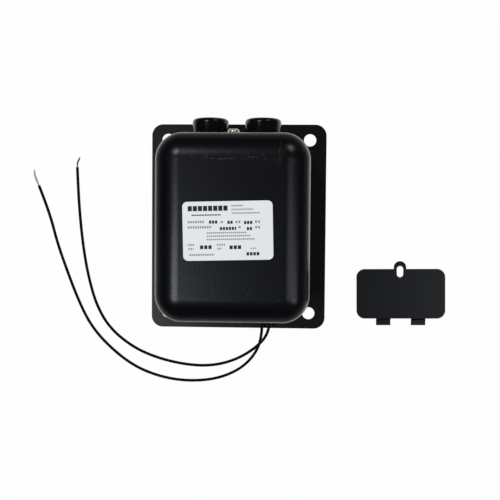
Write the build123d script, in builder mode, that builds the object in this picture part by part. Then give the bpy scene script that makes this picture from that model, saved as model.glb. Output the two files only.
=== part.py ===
from build123d import *
import math
import os

os.makedirs("parts", exist_ok=True)

# A step-up ignition transformer lying on its mounting plate. The origin is the centre of the
# plate's hole pattern, on the plate's underside. +Z is the side that the can stands on, +Y is
# the end with the high-voltage bushings, and the supply leads leave the end at -Y.

# Mounting plate, wider than the can by a margin all round that its holes stand in
plate_margin_x = 12.9
plate_margin_y = 12.35
plate_thickness = 1.5
plate_corner_radius = 8.0
plate_edge_radius = 0.4
mounting_edge_x = 11.7
mounting_edge_y = 11.1
mounting_hole_diameter = 8.8

# Deep-drawn can, open towards the plate and held by lugs staked through it. Its width is what
# the two bushings need side by side on the flat of its end wall
can_length = 121.3
can_height = 81.5
can_wall = 1.0
can_corner_radius = 17.5
can_edge_step = 0.5
lug_width = 10.0
lug_clearance = 0.15
lug_end_gap = 6.15

# Rating label on the front face, bare
label_width = 56.0
label_height = 36.6
label_thickness = 0.12
label_corner_radius = 3.1
label_offset_x = -1.7
label_offset_y = -1.6
label_turn = 1.45

# Loose cover of the wiring opening, lying on the floor beside the plate
cover_wall_margin = 0.6
cover_height = 35.5
cover_thickness = 0.9
cover_corner_radius = 5.9
cover_edge_radius = 0.25
ear_radius = 4.4
ear_rise = 1.2
ear_offset = -0.5
slot_width = 4.6
slot_length = 8.0
slot_drop = 1.9
tab_width = 10.2
tab_length = 4.8
tab_spacing = 24.8
tab_bend = 1.2
cover_place_x = 116.6
cover_place_y = -47.1
cover_turn = 0.75

# Wiring opening in the can's end wall, and the compartment behind it
opening_corner_radius = 3.0
opening_side_lap = 3.5
opening_top_lap = 9.5
opening_sill = 7.0
cover_screw_hole_diameter = 3.5
compartment_depth = 16.0
compartment_wall = 0.8
compartment_margin = 1.0

# Glazed ceramic bushings in the other end wall, with a terminal rod in each
bushing_gap = 8.0
bushing_wall_gap = 0.1
bushing_coil_gap = 2.0
bushing_diameter = 24.8
bushing_reach = 13.2
bushing_rim_radius = 2.6
bushing_lip = 1.6
bushing_flange_thickness = 4.0
bushing_tail_diameter = 16.0
bushing_tail_length = 11.0
bushing_recess_diameter = 12.0
bushing_recess_depth = 8.0
bushing_recess_radius = 0.9
bushing_hole_clearance = 0.3
gasket_thickness = 1.0
terminal_diameter = 5.0
terminal_clearance = 0.2
terminal_head_diameter = 8.0
terminal_head_height = 2.5
terminal_tip_drop = 1.2
terminal_tip_chamfer = 0.6
terminal_tail = 1.5
terminal_nut_flats = 8.0
terminal_nut_height = 3.0

# Screw through the end wall into the core's bracket
screw_drop = 7.0
screw_diameter = 4.0
screw_clearance = 0.05
screw_hole_clearance = 0.25
screw_head_diameter = 7.8
screw_head_height = 3.0
screw_head_round = 1.8
screw_length = 4.5
cross_width = 1.0
cross_length = 4.4
cross_depth = 1.6

# Closed core of stacked laminations
core_limb_width = 17.0
core_rear_gap = 2.65
core_front_gap = 0.65
core_sill_gap = 5.2
rivet_diameter = 5.0
rivet_head_diameter = 8.5
rivet_head_height = 1.6
rivet_clearance = 0.05
bracket_width = 44.0
bracket_pad_width = 20.0
bracket_height = 12.0
bracket_thickness = 1.5

# Windings on their bobbins: primaries by the leads, secondaries by the bushings
winding_build = 12.0
coil_gap = 5.0
coil_side_gap = 2.1
coil_top_gap = 2.0
coil_corner_radius = 12.0
winding_inset = 0.5
bobbin_wall = 1.5
bobbin_clearance = 0.2
primary_length = 32.0
coil_end_clearance = 0.5
shunt_length = 8.0
shunt_clearance = 1.0
shunt_spacer = 0.7
spacer_clearance = 0.05

# Insulation and filling
sheet_thickness = 0.8
sheet_sill = 20.0
sheet_gap = 1.2
sheet_end_gap = 4.15
sheet_top_gap = 2.0
potting_gap = 0.1

# Supply leads and their grommet
lead_diameter = 2.06
strand_diameter = 1.2
grommet_width = 12.5
grommet_height = 7.5
grommet_lip = 1.5
grommet_lip_width = 1.2
grommet_clearance = 0.1
grommet_side_gap = 7.4
grommet_sill_gap = 4.1
lead_spread_x = 3.0
lead_spread_z = 1.5
link_diameter = 1.2
link_bend_radius = 2.0
link_inset = 7.0
link_offset = 8.0
link_drop = 4.5
tail_a_run = 11.0
tail_b_run = 17.0
hv_link_run = 9.0
midpoint_rise = 3.2
midpoint_run = 7.5

# Values that follow from the sizes above
bushing_flange_diameter = bushing_diameter + 2 * bushing_lip
bushing_spacing = bushing_gap + bushing_flange_diameter
flat_x = (bushing_spacing + bushing_flange_diameter) / 2 + bushing_wall_gap
can_width = 2 * (flat_x + can_corner_radius)
can_edge_radius = can_corner_radius - can_edge_step
can_top = plate_thickness + can_height
wall_x = can_width / 2
wall_y = can_length / 2
inner_wall_x = wall_x - can_wall
inner_wall_y = wall_y - can_wall
flat_y = wall_y - can_corner_radius
flat_z = can_top - can_edge_radius
plate_width = can_width + 2 * plate_margin_x
plate_length = can_length + 2 * plate_margin_y
mounting_spacing_x = plate_width - 2 * mounting_edge_x
mounting_spacing_y = plate_length - 2 * mounting_edge_y
side_lug_y = flat_y - lug_end_gap - lug_width / 2
cover_width = 2 * (flat_x - cover_wall_margin)
opening_width = cover_width - 2 * opening_side_lap
opening_height = cover_height - opening_top_lap
opening_centre_z = opening_sill + opening_height / 2
compartment_width = opening_width + 2 * (compartment_margin + compartment_wall)
compartment_height = opening_height + 2 * (compartment_margin + compartment_wall)
compartment_back_y = -inner_wall_y + compartment_depth
compartment_top = opening_centre_z + compartment_height / 2
cover_screw_z = opening_sill + cover_height - slot_drop
grommet_x = opening_width / 2 - grommet_side_gap
grommet_z = opening_sill + grommet_sill_gap
flange_face_y = inner_wall_y - gasket_thickness
tail_face_y = flange_face_y - bushing_flange_thickness - bushing_tail_length
screw_height = flat_z - screw_drop
sheet_x = inner_wall_x - sheet_gap - sheet_thickness / 2
sheet_length = 2 * (flat_y - sheet_end_gap)
sheet_height = flat_z - sheet_top_gap - sheet_sill
core_limb_spacing = sheet_x - sheet_thickness / 2 - coil_side_gap + coil_gap / 2
core_bottom = compartment_top + core_sill_gap
core_top = can_top - can_wall - coil_top_gap - winding_build
core_depth = core_top - core_bottom
core_height = (core_bottom + core_top) / 2
coil_width = core_limb_spacing - coil_gap
coil_depth = core_depth + 2 * winding_build
coil_bottom = core_bottom - winding_build
bushing_height = coil_bottom - bushing_coil_gap
yoke_width = core_limb_spacing + core_limb_width
rear_yoke_y = core_rear_gap - inner_wall_y
front_yoke_y = flange_face_y - bushing_flange_thickness - core_front_gap
rear_window_y = rear_yoke_y + core_limb_width
front_window_y = front_yoke_y - core_limb_width
core_window_length = front_window_y - rear_window_y
core_centre_y = (rear_yoke_y + front_yoke_y) / 2
primary_y = rear_window_y + coil_end_clearance + primary_length / 2
shunt_y = primary_y + primary_length / 2 + shunt_clearance + shunt_length / 2
secondary_start_y = shunt_y + shunt_length / 2 + shunt_clearance
secondary_length = front_window_y - coil_end_clearance - secondary_start_y
secondary_y = secondary_start_y + secondary_length / 2
limb_gap = core_limb_spacing - core_limb_width
bushing_end_y = wall_y + bushing_reach
recess_floor_y = bushing_end_y - bushing_recess_depth
terminal_end_y = tail_face_y - terminal_nut_height - terminal_tail
sides = {"left": -1, "right": 1}


# Forms that are used more than once

def drawn_block(width, length, bottom, top, corner_radius, edge_radius):
    """A block rounded in plan and rounded over its upper edge, as a drawn can is."""
    with BuildPart() as block:
        with BuildSketch(Plane.XY.offset(bottom)):
            RectangleRounded(width, length, corner_radius)
        extrude(amount=top - bottom)
        fillet(block.faces().sort_by(Axis.Z)[-1].edges(), edge_radius)
    return block.part


def cross_plane(y, side=0, centre_z=core_height):
    """A plane across the transformer at y, on one limb of the core or between the two."""
    return Plane(origin=(side * core_limb_spacing / 2, y, centre_z), x_dir=(1, 0, 0), z_dir=(0, 1, 0))


def coil_block(side, centre_y, length, grow):
    """The outer form of a coil on a limb, as long as length and grown round its sides by grow."""
    with BuildPart() as block:
        with BuildSketch(cross_plane(centre_y, side)):
            RectangleRounded(coil_width + 2 * grow, coil_depth + 2 * grow, coil_corner_radius + grow)
        extrude(amount=length / 2, both=True)
    return block.part


def wire(points, diameter, radii):
    """A round wire along straight runs joined by arcs."""
    with BuildPart() as strand:
        with BuildLine() as path:
            FilletPolyline(*points, radius=radii)
        with BuildSketch(Plane(origin=path.line @ 0, z_dir=path.line % 0)):
            Circle(diameter / 2)
        sweep(path=path.line)
    return strand.part


def route_radii(points):
    """The radius of each corner of a cord's route: 0.45 of its shorter run over half the turn's tangent."""
    radii = []
    for before, corner, after in zip(points, points[1:], points[2:]):
        run_in = Vector(*corner) - Vector(*before)
        run_out = Vector(*after) - Vector(*corner)
        half_turn = math.radians(run_in.get_angle(run_out)) / 2
        radii.append(0.45 * min(run_in.length, run_out.length) / math.tan(half_turn))
    return radii


def finish(piece, name):
    """Labels a finished piece and writes it to its file."""
    piece.part.label = name
    export_step(piece.part, f"parts/{name}.step")


# Mounting plate, with a slot for each lug of the can

side_lugs = [
    (side * (wall_x - can_wall / 2), end * side_lug_y)
    for side in (-1, 1)
    for end in (-1, 1)
]
end_lugs = [(0, side * (wall_y - can_wall / 2)) for side in (-1, 1)]

with BuildPart() as base_plate:
    with BuildSketch():
        RectangleRounded(plate_width, plate_length, plate_corner_radius)
        with GridLocations(mounting_spacing_x, mounting_spacing_y, 2, 2):
            Circle(mounting_hole_diameter / 2, mode=Mode.SUBTRACT)
        with Locations(*side_lugs):
            Rectangle(can_wall + 2 * lug_clearance, lug_width + 2 * lug_clearance, mode=Mode.SUBTRACT)
        with Locations(*end_lugs):
            Rectangle(lug_width + 2 * lug_clearance, can_wall + 2 * lug_clearance, mode=Mode.SUBTRACT)
    extrude(amount=plate_thickness)
    outline = base_plate.faces().sort_by(Axis.Z)[-1].outer_wire()
    fillet(outline.edges(), plate_edge_radius)
finish(base_plate, "base_plate")

# Can, with its lugs, the bushing and screw holes, and the wiring opening

can_inside = drawn_block(
    2 * inner_wall_x, 2 * inner_wall_y, plate_thickness, can_top - can_wall,
    can_corner_radius - can_wall, can_edge_radius - can_wall,
)
can_outside = drawn_block(
    can_width, can_length, plate_thickness, can_top, can_corner_radius, can_edge_radius,
)

with BuildPart() as housing_can:
    add(can_outside)
    add(can_inside, mode=Mode.SUBTRACT)
    with BuildSketch():
        with Locations(*side_lugs):
            Rectangle(can_wall, lug_width)
        with Locations(*end_lugs):
            Rectangle(lug_width, can_wall)
    extrude(amount=plate_thickness)
    with BuildSketch(cross_plane(inner_wall_y - can_wall, 0, bushing_height)):
        with GridLocations(bushing_spacing, 0, 2, 1):
            Circle(bushing_diameter / 2 + bushing_hole_clearance)
        with Locations((0, bushing_height - screw_height)):
            Circle(screw_diameter / 2 + screw_hole_clearance)
    extrude(amount=3 * can_wall, mode=Mode.SUBTRACT)
    with BuildSketch(cross_plane(-wall_y - can_wall, 0, opening_centre_z)):
        RectangleRounded(opening_width, opening_height, opening_corner_radius)
        with Locations((0, opening_centre_z - cover_screw_z)):
            Circle(cover_screw_hole_diameter / 2)
    extrude(amount=3 * can_wall, mode=Mode.SUBTRACT)
finish(housing_can, "housing_can")

# Label on the front face

with BuildPart() as rating_label:
    with BuildSketch(Plane((label_offset_x, label_offset_y, can_top)).rotated((0, 0, label_turn))):
        RectangleRounded(label_width, label_height, label_corner_radius)
    extrude(amount=label_thickness)
finish(rating_label, "rating_label")

# Cover of the wiring opening: a plate with a slotted ear and two tabs stepped down by its own
# thickness, so it lies tilted on the steps of its tabs and the end of its ear

tab_step_y = -cover_height / 2 - tab_bend
tab_end_y = -cover_height / 2 - tab_length
cover_far_y = cover_height / 2 + ear_rise + ear_radius
cover_tilt = math.degrees(math.asin(cover_thickness / (cover_far_y - tab_step_y)))
cover_plane = Plane((cover_place_x, cover_place_y, 0)).rotated((-cover_tilt, 0, cover_turn))
cover_plane = cover_plane.offset(cover_far_y * math.sin(math.radians(cover_tilt)))

with BuildPart() as access_cover:
    with BuildSketch(cover_plane):
        RectangleRounded(cover_width, cover_height, cover_corner_radius)
        with Locations((ear_offset, cover_height / 2 + ear_rise)):
            Circle(ear_radius)
        with Locations((ear_offset, cover_height / 2)):
            Rectangle(2 * ear_radius, 2 * ear_rise)
        with Locations((ear_offset, cover_height / 2 - slot_drop)):
            SlotOverall(slot_length, slot_width, rotation=90, mode=Mode.SUBTRACT)
    extrude(amount=cover_thickness)
    fillet(access_cover.faces().sort_by(Axis.Z)[-1].outer_wire().edges(), cover_edge_radius)
    tab_plane = Plane(cover_plane.from_local_coords((-(tab_spacing + tab_width) / 2, 0, 0)),
                      x_dir=cover_plane.y_dir, z_dir=cover_plane.x_dir)
    for offset in (0, tab_spacing):
        with BuildSketch(tab_plane.offset(offset)):
            with BuildLine():
                edge = -cover_height / 2
                Polyline(
                    (edge, 0), (tab_step_y, -cover_thickness), (tab_end_y, -cover_thickness),
                    (tab_end_y, 0), (tab_step_y, 0), (edge, cover_thickness),
                    (edge + tab_bend, cover_thickness), (edge + tab_bend, 0), close=True,
                )
            make_face()
        extrude(amount=tab_width)
finish(access_cover, "access_cover")

# Bushings: a barrel outside the wall, a flange and a tail inside, bored for the terminal rod

for side_name, side in sides.items():
    axis_x = side * bushing_spacing / 2
    turning_plane = Plane(origin=(axis_x, 0, bushing_height), x_dir=(1, 0, 0), z_dir=(0, 0, 1))
    turning_axis = Axis((axis_x, 0, bushing_height), (0, 1, 0))
    bore_radius = terminal_diameter / 2 + terminal_clearance

    with BuildPart() as hv_bushing:
        with BuildSketch(turning_plane):
            with BuildLine():
                Polyline(
                    (bore_radius, tail_face_y), (bushing_tail_diameter / 2, tail_face_y),
                    (bushing_tail_diameter / 2, flange_face_y - bushing_flange_thickness),
                    (bushing_flange_diameter / 2, flange_face_y - bushing_flange_thickness),
                    (bushing_flange_diameter / 2, flange_face_y),
                    (bushing_diameter / 2, flange_face_y), (bushing_diameter / 2, bushing_end_y),
                    (bushing_recess_diameter / 2, bushing_end_y),
                    (bushing_recess_diameter / 2, recess_floor_y), (bore_radius, recess_floor_y),
                    close=True,
                )
            make_face()
        revolve(axis=turning_axis)
        end_edges = hv_bushing.edges().filter_by(GeomType.CIRCLE).group_by(Axis.Y)[-1]
        end_edges = end_edges.sort_by(SortBy.RADIUS)
        fillet(end_edges[-1], bushing_rim_radius)
        fillet(end_edges[0], bushing_recess_radius)
    finish(hv_bushing, f"hv_bushing_{side_name}")

    with BuildPart() as bushing_gasket:
        with BuildSketch(cross_plane(flange_face_y, 0, bushing_height)):
            with Locations((axis_x, 0)):
                Circle(bushing_flange_diameter / 2)
                Circle(bushing_diameter / 2 + bushing_hole_clearance, mode=Mode.SUBTRACT)
        extrude(amount=gasket_thickness)
    finish(bushing_gasket, f"bushing_gasket_{side_name}")

    with BuildPart() as hv_terminal:
        with BuildSketch(turning_plane):
            with BuildLine():
                Polyline(
                    (0, terminal_end_y), (terminal_diameter / 2, terminal_end_y),
                    (terminal_diameter / 2, recess_floor_y), (terminal_head_diameter / 2, recess_floor_y),
                    (terminal_head_diameter / 2, recess_floor_y + terminal_head_height),
                    (terminal_diameter / 2, recess_floor_y + terminal_head_height),
                    (terminal_diameter / 2, bushing_end_y - terminal_tip_drop),
                    (0, bushing_end_y - terminal_tip_drop), close=True,
                )
            make_face()
        revolve(axis=turning_axis)
        tip_edge = hv_terminal.edges().filter_by(GeomType.CIRCLE).group_by(Axis.Y)[-1]
        chamfer(tip_edge, terminal_tip_chamfer)
    finish(hv_terminal, f"hv_terminal_{side_name}")

with BuildPart() as terminal_nuts:
    with BuildSketch(cross_plane(tail_face_y - terminal_nut_height, 0, bushing_height)):
        with GridLocations(bushing_spacing, 0, 2, 1):
            RegularPolygon(terminal_nut_flats / 2, 6, major_radius=False)
            Circle(terminal_diameter / 2 + screw_clearance, mode=Mode.SUBTRACT)
    extrude(amount=terminal_nut_height)
finish(terminal_nuts, "terminal_nuts")

# Screw between the bushings, with a cross recess in a domed head

with BuildPart() as end_screw:
    with BuildSketch(cross_plane(wall_y, 0, screw_height)):
        Circle(screw_head_diameter / 2)
    extrude(amount=screw_head_height)
    fillet(end_screw.edges().group_by(Axis.Y)[-1], screw_head_round)
    with BuildSketch(cross_plane(wall_y + screw_head_height - cross_depth, 0, screw_height)):
        Rectangle(cross_width, cross_length)
        Rectangle(cross_length, cross_width)
    extrude(amount=cross_depth, mode=Mode.SUBTRACT)
    with BuildSketch(cross_plane(wall_y - screw_length, 0, screw_height)):
        Circle(screw_diameter / 2)
    extrude(amount=screw_length)
finish(end_screw, "end_screw")

# Core: two limbs between two yokes, riveted at its corners

rivet_y = (rear_window_y - core_limb_width / 2, front_window_y + core_limb_width / 2)
limbs = {}
for side_name, side in sides.items():
    with BuildPart() as core_limb:
        with BuildSketch(cross_plane(rear_window_y, side)):
            Rectangle(core_limb_width, core_depth)
        extrude(amount=core_window_length)
    limbs[side_name] = core_limb
    finish(core_limb, f"core_limb_{side_name}")

yokes = {}
for yoke_name, start_y, hole_y in (
    ("rear", rear_yoke_y, rivet_y[0]),
    ("front", front_window_y, rivet_y[1]),
):
    with BuildPart() as core_yoke:
        with BuildSketch(cross_plane(start_y)):
            Rectangle(yoke_width, core_depth)
        extrude(amount=core_limb_width)
        with BuildSketch(Plane.XY.offset(core_height)):
            with Locations((-core_limb_spacing / 2, hole_y), (core_limb_spacing / 2, hole_y)):
                Circle(rivet_diameter / 2 + rivet_clearance)
        extrude(amount=core_depth, both=True, mode=Mode.SUBTRACT)
    yokes[yoke_name] = core_yoke
    finish(core_yoke, f"core_yoke_{yoke_name}")

with BuildPart() as core_rivets:
    rivet_places = [(side * core_limb_spacing / 2, y) for side in sides.values() for y in rivet_y]
    with BuildSketch(Plane.XY.offset(core_height)):
        with Locations(*rivet_places):
            Circle(rivet_diameter / 2)
    extrude(amount=core_depth / 2, both=True)
    for head_z in (core_top, core_bottom - rivet_head_height):
        with BuildSketch(Plane.XY.offset(head_z)):
            with Locations(*rivet_places):
                Circle(rivet_head_diameter / 2)
        extrude(amount=rivet_head_height)
finish(core_rivets, "core_rivets")

# Bracket from the front yoke to the end wall, tapped for the screw

pad_face_y = inner_wall_y - bracket_thickness
bracket_bend_x = bracket_pad_width / 2 + (pad_face_y - front_yoke_y) / 2
with BuildPart() as core_bracket:
    with BuildSketch(Plane.XY.offset(screw_height - bracket_height / 2)):
        with BuildLine():
            Polyline(
                (-bracket_width / 2, front_yoke_y), (-bracket_bend_x, front_yoke_y),
                (-bracket_pad_width / 2, pad_face_y), (bracket_pad_width / 2, pad_face_y),
                (bracket_bend_x, front_yoke_y), (bracket_width / 2, front_yoke_y),
                (bracket_width / 2, front_yoke_y + bracket_thickness),
                (bracket_bend_x + bracket_thickness, front_yoke_y + bracket_thickness),
                (bracket_pad_width / 2 + bracket_thickness, inner_wall_y),
                (-bracket_pad_width / 2 - bracket_thickness, inner_wall_y),
                (-bracket_bend_x - bracket_thickness, front_yoke_y + bracket_thickness),
                (-bracket_width / 2, front_yoke_y + bracket_thickness), close=True,
            )
        make_face()
    extrude(amount=bracket_height)
    with BuildSketch(cross_plane(pad_face_y, 0, screw_height)):
        Circle(screw_diameter / 2 + screw_clearance)
    extrude(amount=bracket_thickness, mode=Mode.SUBTRACT)
finish(core_bracket, "core_bracket")

# Magnetic shunt between the limbs, with a spacer in each air gap

with BuildPart() as magnetic_shunt:
    with BuildSketch(cross_plane(shunt_y)):
        Rectangle(limb_gap - 2 * (shunt_spacer + 2 * spacer_clearance), core_depth)
    extrude(amount=shunt_length / 2, both=True)
finish(magnetic_shunt, "magnetic_shunt")

with BuildPart() as shunt_spacers:
    with BuildSketch(cross_plane(shunt_y)):
        with GridLocations(limb_gap - shunt_spacer - 2 * spacer_clearance, 0, 2, 1):
            Rectangle(shunt_spacer, core_depth)
    extrude(amount=shunt_length / 2, both=True)
finish(shunt_spacers, "shunt_spacers")

# Bobbins and windings, one pair on each limb

tube_width = core_limb_width + 2 * (bobbin_clearance + bobbin_wall)
tube_depth = core_depth + 2 * (bobbin_clearance + bobbin_wall)
for coil_name, centre_y, length in (
    ("primary", primary_y, primary_length),
    ("secondary", secondary_y, secondary_length),
):
    for side_name, side in sides.items():
        with BuildPart() as bobbin:
            with BuildSketch(cross_plane(centre_y, side)):
                RectangleRounded(tube_width, tube_depth, bobbin_wall)
            extrude(amount=length / 2, both=True)
            for end in (-1, 1):
                flange_centre = centre_y + end * (length - bobbin_wall) / 2
                with BuildSketch(cross_plane(flange_centre, side)):
                    RectangleRounded(coil_width, coil_depth, coil_corner_radius)
                extrude(amount=bobbin_wall / 2, both=True)
            with BuildSketch(cross_plane(centre_y, side)):
                Rectangle(core_limb_width + 2 * bobbin_clearance, core_depth + 2 * bobbin_clearance)
            extrude(amount=length / 2, both=True, mode=Mode.SUBTRACT)
        finish(bobbin, f"{coil_name}_bobbin_{side_name}")

        winding_block = coil_block(side, centre_y, length - 2 * bobbin_wall, -winding_inset)
        with BuildPart() as winding:
            add(winding_block)
            with BuildSketch(cross_plane(centre_y, side)):
                RectangleRounded(tube_width, tube_depth, bobbin_wall)
            extrude(amount=length / 2, both=True, mode=Mode.SUBTRACT)
        finish(winding, f"{coil_name}_coil_{side_name}")

# Pressed-paper sheets between the coils and the can's side walls

sheets = {}
for side_name, side in sides.items():
    with BuildPart() as sheet:
        with BuildSketch(Plane.XY.offset(sheet_sill)):
            with Locations((side * sheet_x, core_centre_y)):
                Rectangle(sheet_thickness, sheet_length)
        extrude(amount=sheet_height)
    sheets[side_name] = sheet
    finish(sheet, f"insulation_sheet_{side_name}")

# Routes of the leads: each starts at the grommet, drops over the plate's edge and lies on the floor
# in a wide curve up the left side. The points are corners of the route, in millimetres.

lead_rest = lead_diameter / 2
strand_rest = strand_diameter / 2
grommet_face_y = compartment_back_y - grommet_lip
lead_a_x = grommet_x - lead_spread_x
lead_a_z = grommet_z - lead_spread_z
lead_b_x = grommet_x + lead_spread_x
lead_b_z = grommet_z + lead_spread_z
lead_a_points = [
    (lead_a_x, grommet_face_y, lead_a_z), (lead_a_x, -61.5, lead_a_z), (17.7, -78.0, 4.2),
    (13.4, -91.5, lead_rest), (2.0, -103.4, lead_rest), (-16.0, -110.9, lead_rest),
    (-38.3, -112.5, lead_rest),
    (-59.2, -108.8, lead_rest), (-77.5, -100.9, lead_rest), (-95.8, -86.1, lead_rest),
    (-108.4, -70.9, lead_rest), (-117.6, -51.4, lead_rest), (-125.2, -31.3, lead_rest),
    (-131.8, -12.6, lead_rest), (-137.5, 9.4, lead_rest), (-145.0, 28.1, lead_rest),
]
lead_b_points = [
    (lead_b_x, grommet_face_y, lead_b_z), (lead_b_x, -60.0, lead_b_z), (22.6, -76.2, 11.4),
    (11.6, -88.2, 6.0), (-3.6, -97.4, lead_rest), (-20.4, -101.2, lead_rest),
    (-38.8, -100.3, lead_rest),
    (-58.6, -95.8, lead_rest), (-76.4, -88.2, lead_rest), (-93.2, -74.7, lead_rest),
    (-102.9, -58.2, lead_rest), (-108.7, -38.2, lead_rest), (-112.3, -18.4, lead_rest),
    (-114.6, 1.4, lead_rest), (-116.2, 22.0, lead_rest), (-117.0, 41.9, lead_rest),
]
strands_a_points = [
    (-145.0, 28.1, lead_rest), (-146.3, 31.3, lead_rest),
    (-148.3, 36.2, 0.75), (-148.3, 40.5, strand_rest),
]
strands_b_points = [
    (-117.0, 41.9, lead_rest), (-117.1, 44.6, lead_rest),
    (-115.9, 47.6, 0.75), (-114.9, 49.3, strand_rest),
]
grommet_plane = cross_plane(grommet_face_y, 0, grommet_z)
grommet_waist_width = grommet_width - 2 * grommet_lip_width
grommet_waist_height = grommet_height - 2 * grommet_lip_width

# Wiring compartment behind the opening, a box open towards the end wall

with BuildPart() as wiring_compartment:
    with BuildSketch(cross_plane(-inner_wall_y, 0, opening_centre_z)):
        Rectangle(compartment_width, compartment_height)
    extrude(amount=compartment_depth + compartment_wall)
    with BuildSketch(cross_plane(-inner_wall_y, 0, opening_centre_z)):
        Rectangle(compartment_width - 2 * compartment_wall, compartment_height - 2 * compartment_wall)
    extrude(amount=compartment_depth, mode=Mode.SUBTRACT)
    with BuildSketch(cross_plane(compartment_back_y, 0, grommet_z)):
        with Locations((grommet_x, 0)):
            SlotOverall(
                grommet_waist_width + 2 * grommet_clearance,
                grommet_waist_height + 2 * grommet_clearance,
            )
    extrude(amount=compartment_wall, mode=Mode.SUBTRACT)
finish(wiring_compartment, "wiring_compartment")

with BuildPart() as lead_grommet:
    with BuildSketch(grommet_plane):
        with Locations((grommet_x, 0)):
            SlotOverall(grommet_width, grommet_height)
    extrude(amount=grommet_lip)
    with BuildSketch(grommet_plane):
        with Locations((grommet_x, 0)):
            SlotOverall(grommet_waist_width, grommet_waist_height)
    extrude(amount=grommet_lip + compartment_wall)
finish(lead_grommet, "lead_grommet")

for name, points in (("lead_a", lead_a_points), ("lead_b", lead_b_points)):
    radii = route_radii(points)
    print(name, "bend radii", [round(radius, 1) for radius in radii])
    with BuildPart() as lead:
        add(wire(points, lead_diameter, radii))
    finish(lead, name)

for name, points in (("lead_a_strands", strands_a_points), ("lead_b_strands", strands_b_points)):
    with BuildPart() as strands:
        add(wire(points, strand_diameter, route_radii(points)))
    finish(strands, name)

# Links inside: grommet to primaries, primary to primary, secondary to terminal, midpoint to core

winding_bottom = coil_bottom + winding_inset
tail_y = compartment_back_y + compartment_wall
limb_x = core_limb_spacing / 2
link_x = limb_x - link_inset
link_routes = {
    "primary_tail_a": [
        (lead_a_x, tail_y, lead_a_z), (lead_a_x, tail_y + tail_a_run, lead_a_z),
        (-limb_x, tail_y + tail_a_run, lead_a_z), (-limb_x, tail_y + tail_a_run, winding_bottom),
    ],
    "primary_tail_b": [
        (lead_b_x, tail_y, lead_b_z), (lead_b_x, tail_y + tail_b_run, lead_b_z),
        (lead_b_x, tail_y + tail_b_run, winding_bottom),
    ],
    "primary_link": [
        (-link_x, primary_y + link_offset, winding_bottom),
        (-link_x, primary_y + link_offset, winding_bottom - link_drop),
        (link_x, primary_y + link_offset, winding_bottom - link_drop),
        (link_x, primary_y + link_offset, winding_bottom),
    ],
}
for side_name, side in sides.items():
    terminal_x = side * bushing_spacing / 2
    link_routes[f"hv_link_{side_name}"] = [
        (terminal_x, terminal_end_y, bushing_height),
        (terminal_x, terminal_end_y - hv_link_run, bushing_height),
        (terminal_x, terminal_end_y - hv_link_run, winding_bottom),
    ]
    midpoint_x = side * (limb_gap / 2 - link_diameter)
    bobbin_end_y = secondary_y + secondary_length / 2
    link_routes[f"midpoint_link_{side_name}"] = [
        (midpoint_x, bobbin_end_y, core_top + midpoint_rise),
        (midpoint_x, bobbin_end_y + midpoint_run, core_top + midpoint_rise),
        (midpoint_x, bobbin_end_y + midpoint_run, core_top),
    ]

links = {}
for name, route in link_routes.items():
    with BuildPart() as link:
        add(wire(route, link_diameter, link_bend_radius))
    links[name] = link
    finish(link, name)

# Potting compound: fills what is left of the can, a thin gap clear of every piece in it

potting_block = drawn_block(
    2 * (inner_wall_x - potting_gap), 2 * (inner_wall_y - potting_gap),
    plate_thickness + potting_gap, can_top - can_wall - potting_gap,
    can_corner_radius - can_wall - potting_gap, can_edge_radius - can_wall - potting_gap,
)
coil_pockets = [
    coil_block(side, centre_y, length + 2 * potting_gap, potting_gap)
    for side in sides.values()
    for centre_y, length in ((primary_y, primary_length), (secondary_y, secondary_length))
]
boxed_pieces = [
    core_bracket, shunt_spacers, wiring_compartment,
    *limbs.values(), *yokes.values(), *sheets.values(), *links.values(),
]
nut_corner_radius = terminal_nut_flats / 2 / math.cos(math.pi / 6)

with BuildPart() as potting_compound:
    add(potting_block)
    add(coil_pockets, mode=Mode.SUBTRACT)
    for piece in boxed_pieces:
        box = piece.part.bounding_box()
        grown = box.size + Vector(2, 2, 2) * potting_gap
        with Locations(box.center()):
            Box(grown.X, grown.Y, grown.Z, mode=Mode.SUBTRACT)
    with BuildSketch(Plane.XY.offset(core_height)):
        with Locations(*rivet_places):
            Circle(rivet_head_diameter / 2 + potting_gap)
    extrude(amount=core_depth / 2 + rivet_head_height + potting_gap, both=True, mode=Mode.SUBTRACT)
    for start_y, radius in (
        (flange_face_y - bushing_flange_thickness - potting_gap, bushing_flange_diameter / 2),
        (tail_face_y - potting_gap, bushing_tail_diameter / 2),
        (terminal_end_y - potting_gap, nut_corner_radius),
    ):
        with BuildSketch(cross_plane(start_y, 0, bushing_height)):
            with GridLocations(bushing_spacing, 0, 2, 1):
                Circle(radius + potting_gap)
        extrude(amount=inner_wall_y - start_y, mode=Mode.SUBTRACT)
finish(potting_compound, "potting_compound")
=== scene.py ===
# %% [markdown]
# # An ignition transformer on a white table
# The real thing is a drawn steel can in black stove enamel on a flat mounting plate, with two
# glazed ceramic bushings, two supply leads and a loose cover plate beside it. Its hard parts come
# finished from the CAD model, so this script loads them as they are, adds what is soft or printed,
# gives every part its material, and then sets the table, the lamps and the camera.

import math
import random

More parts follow.
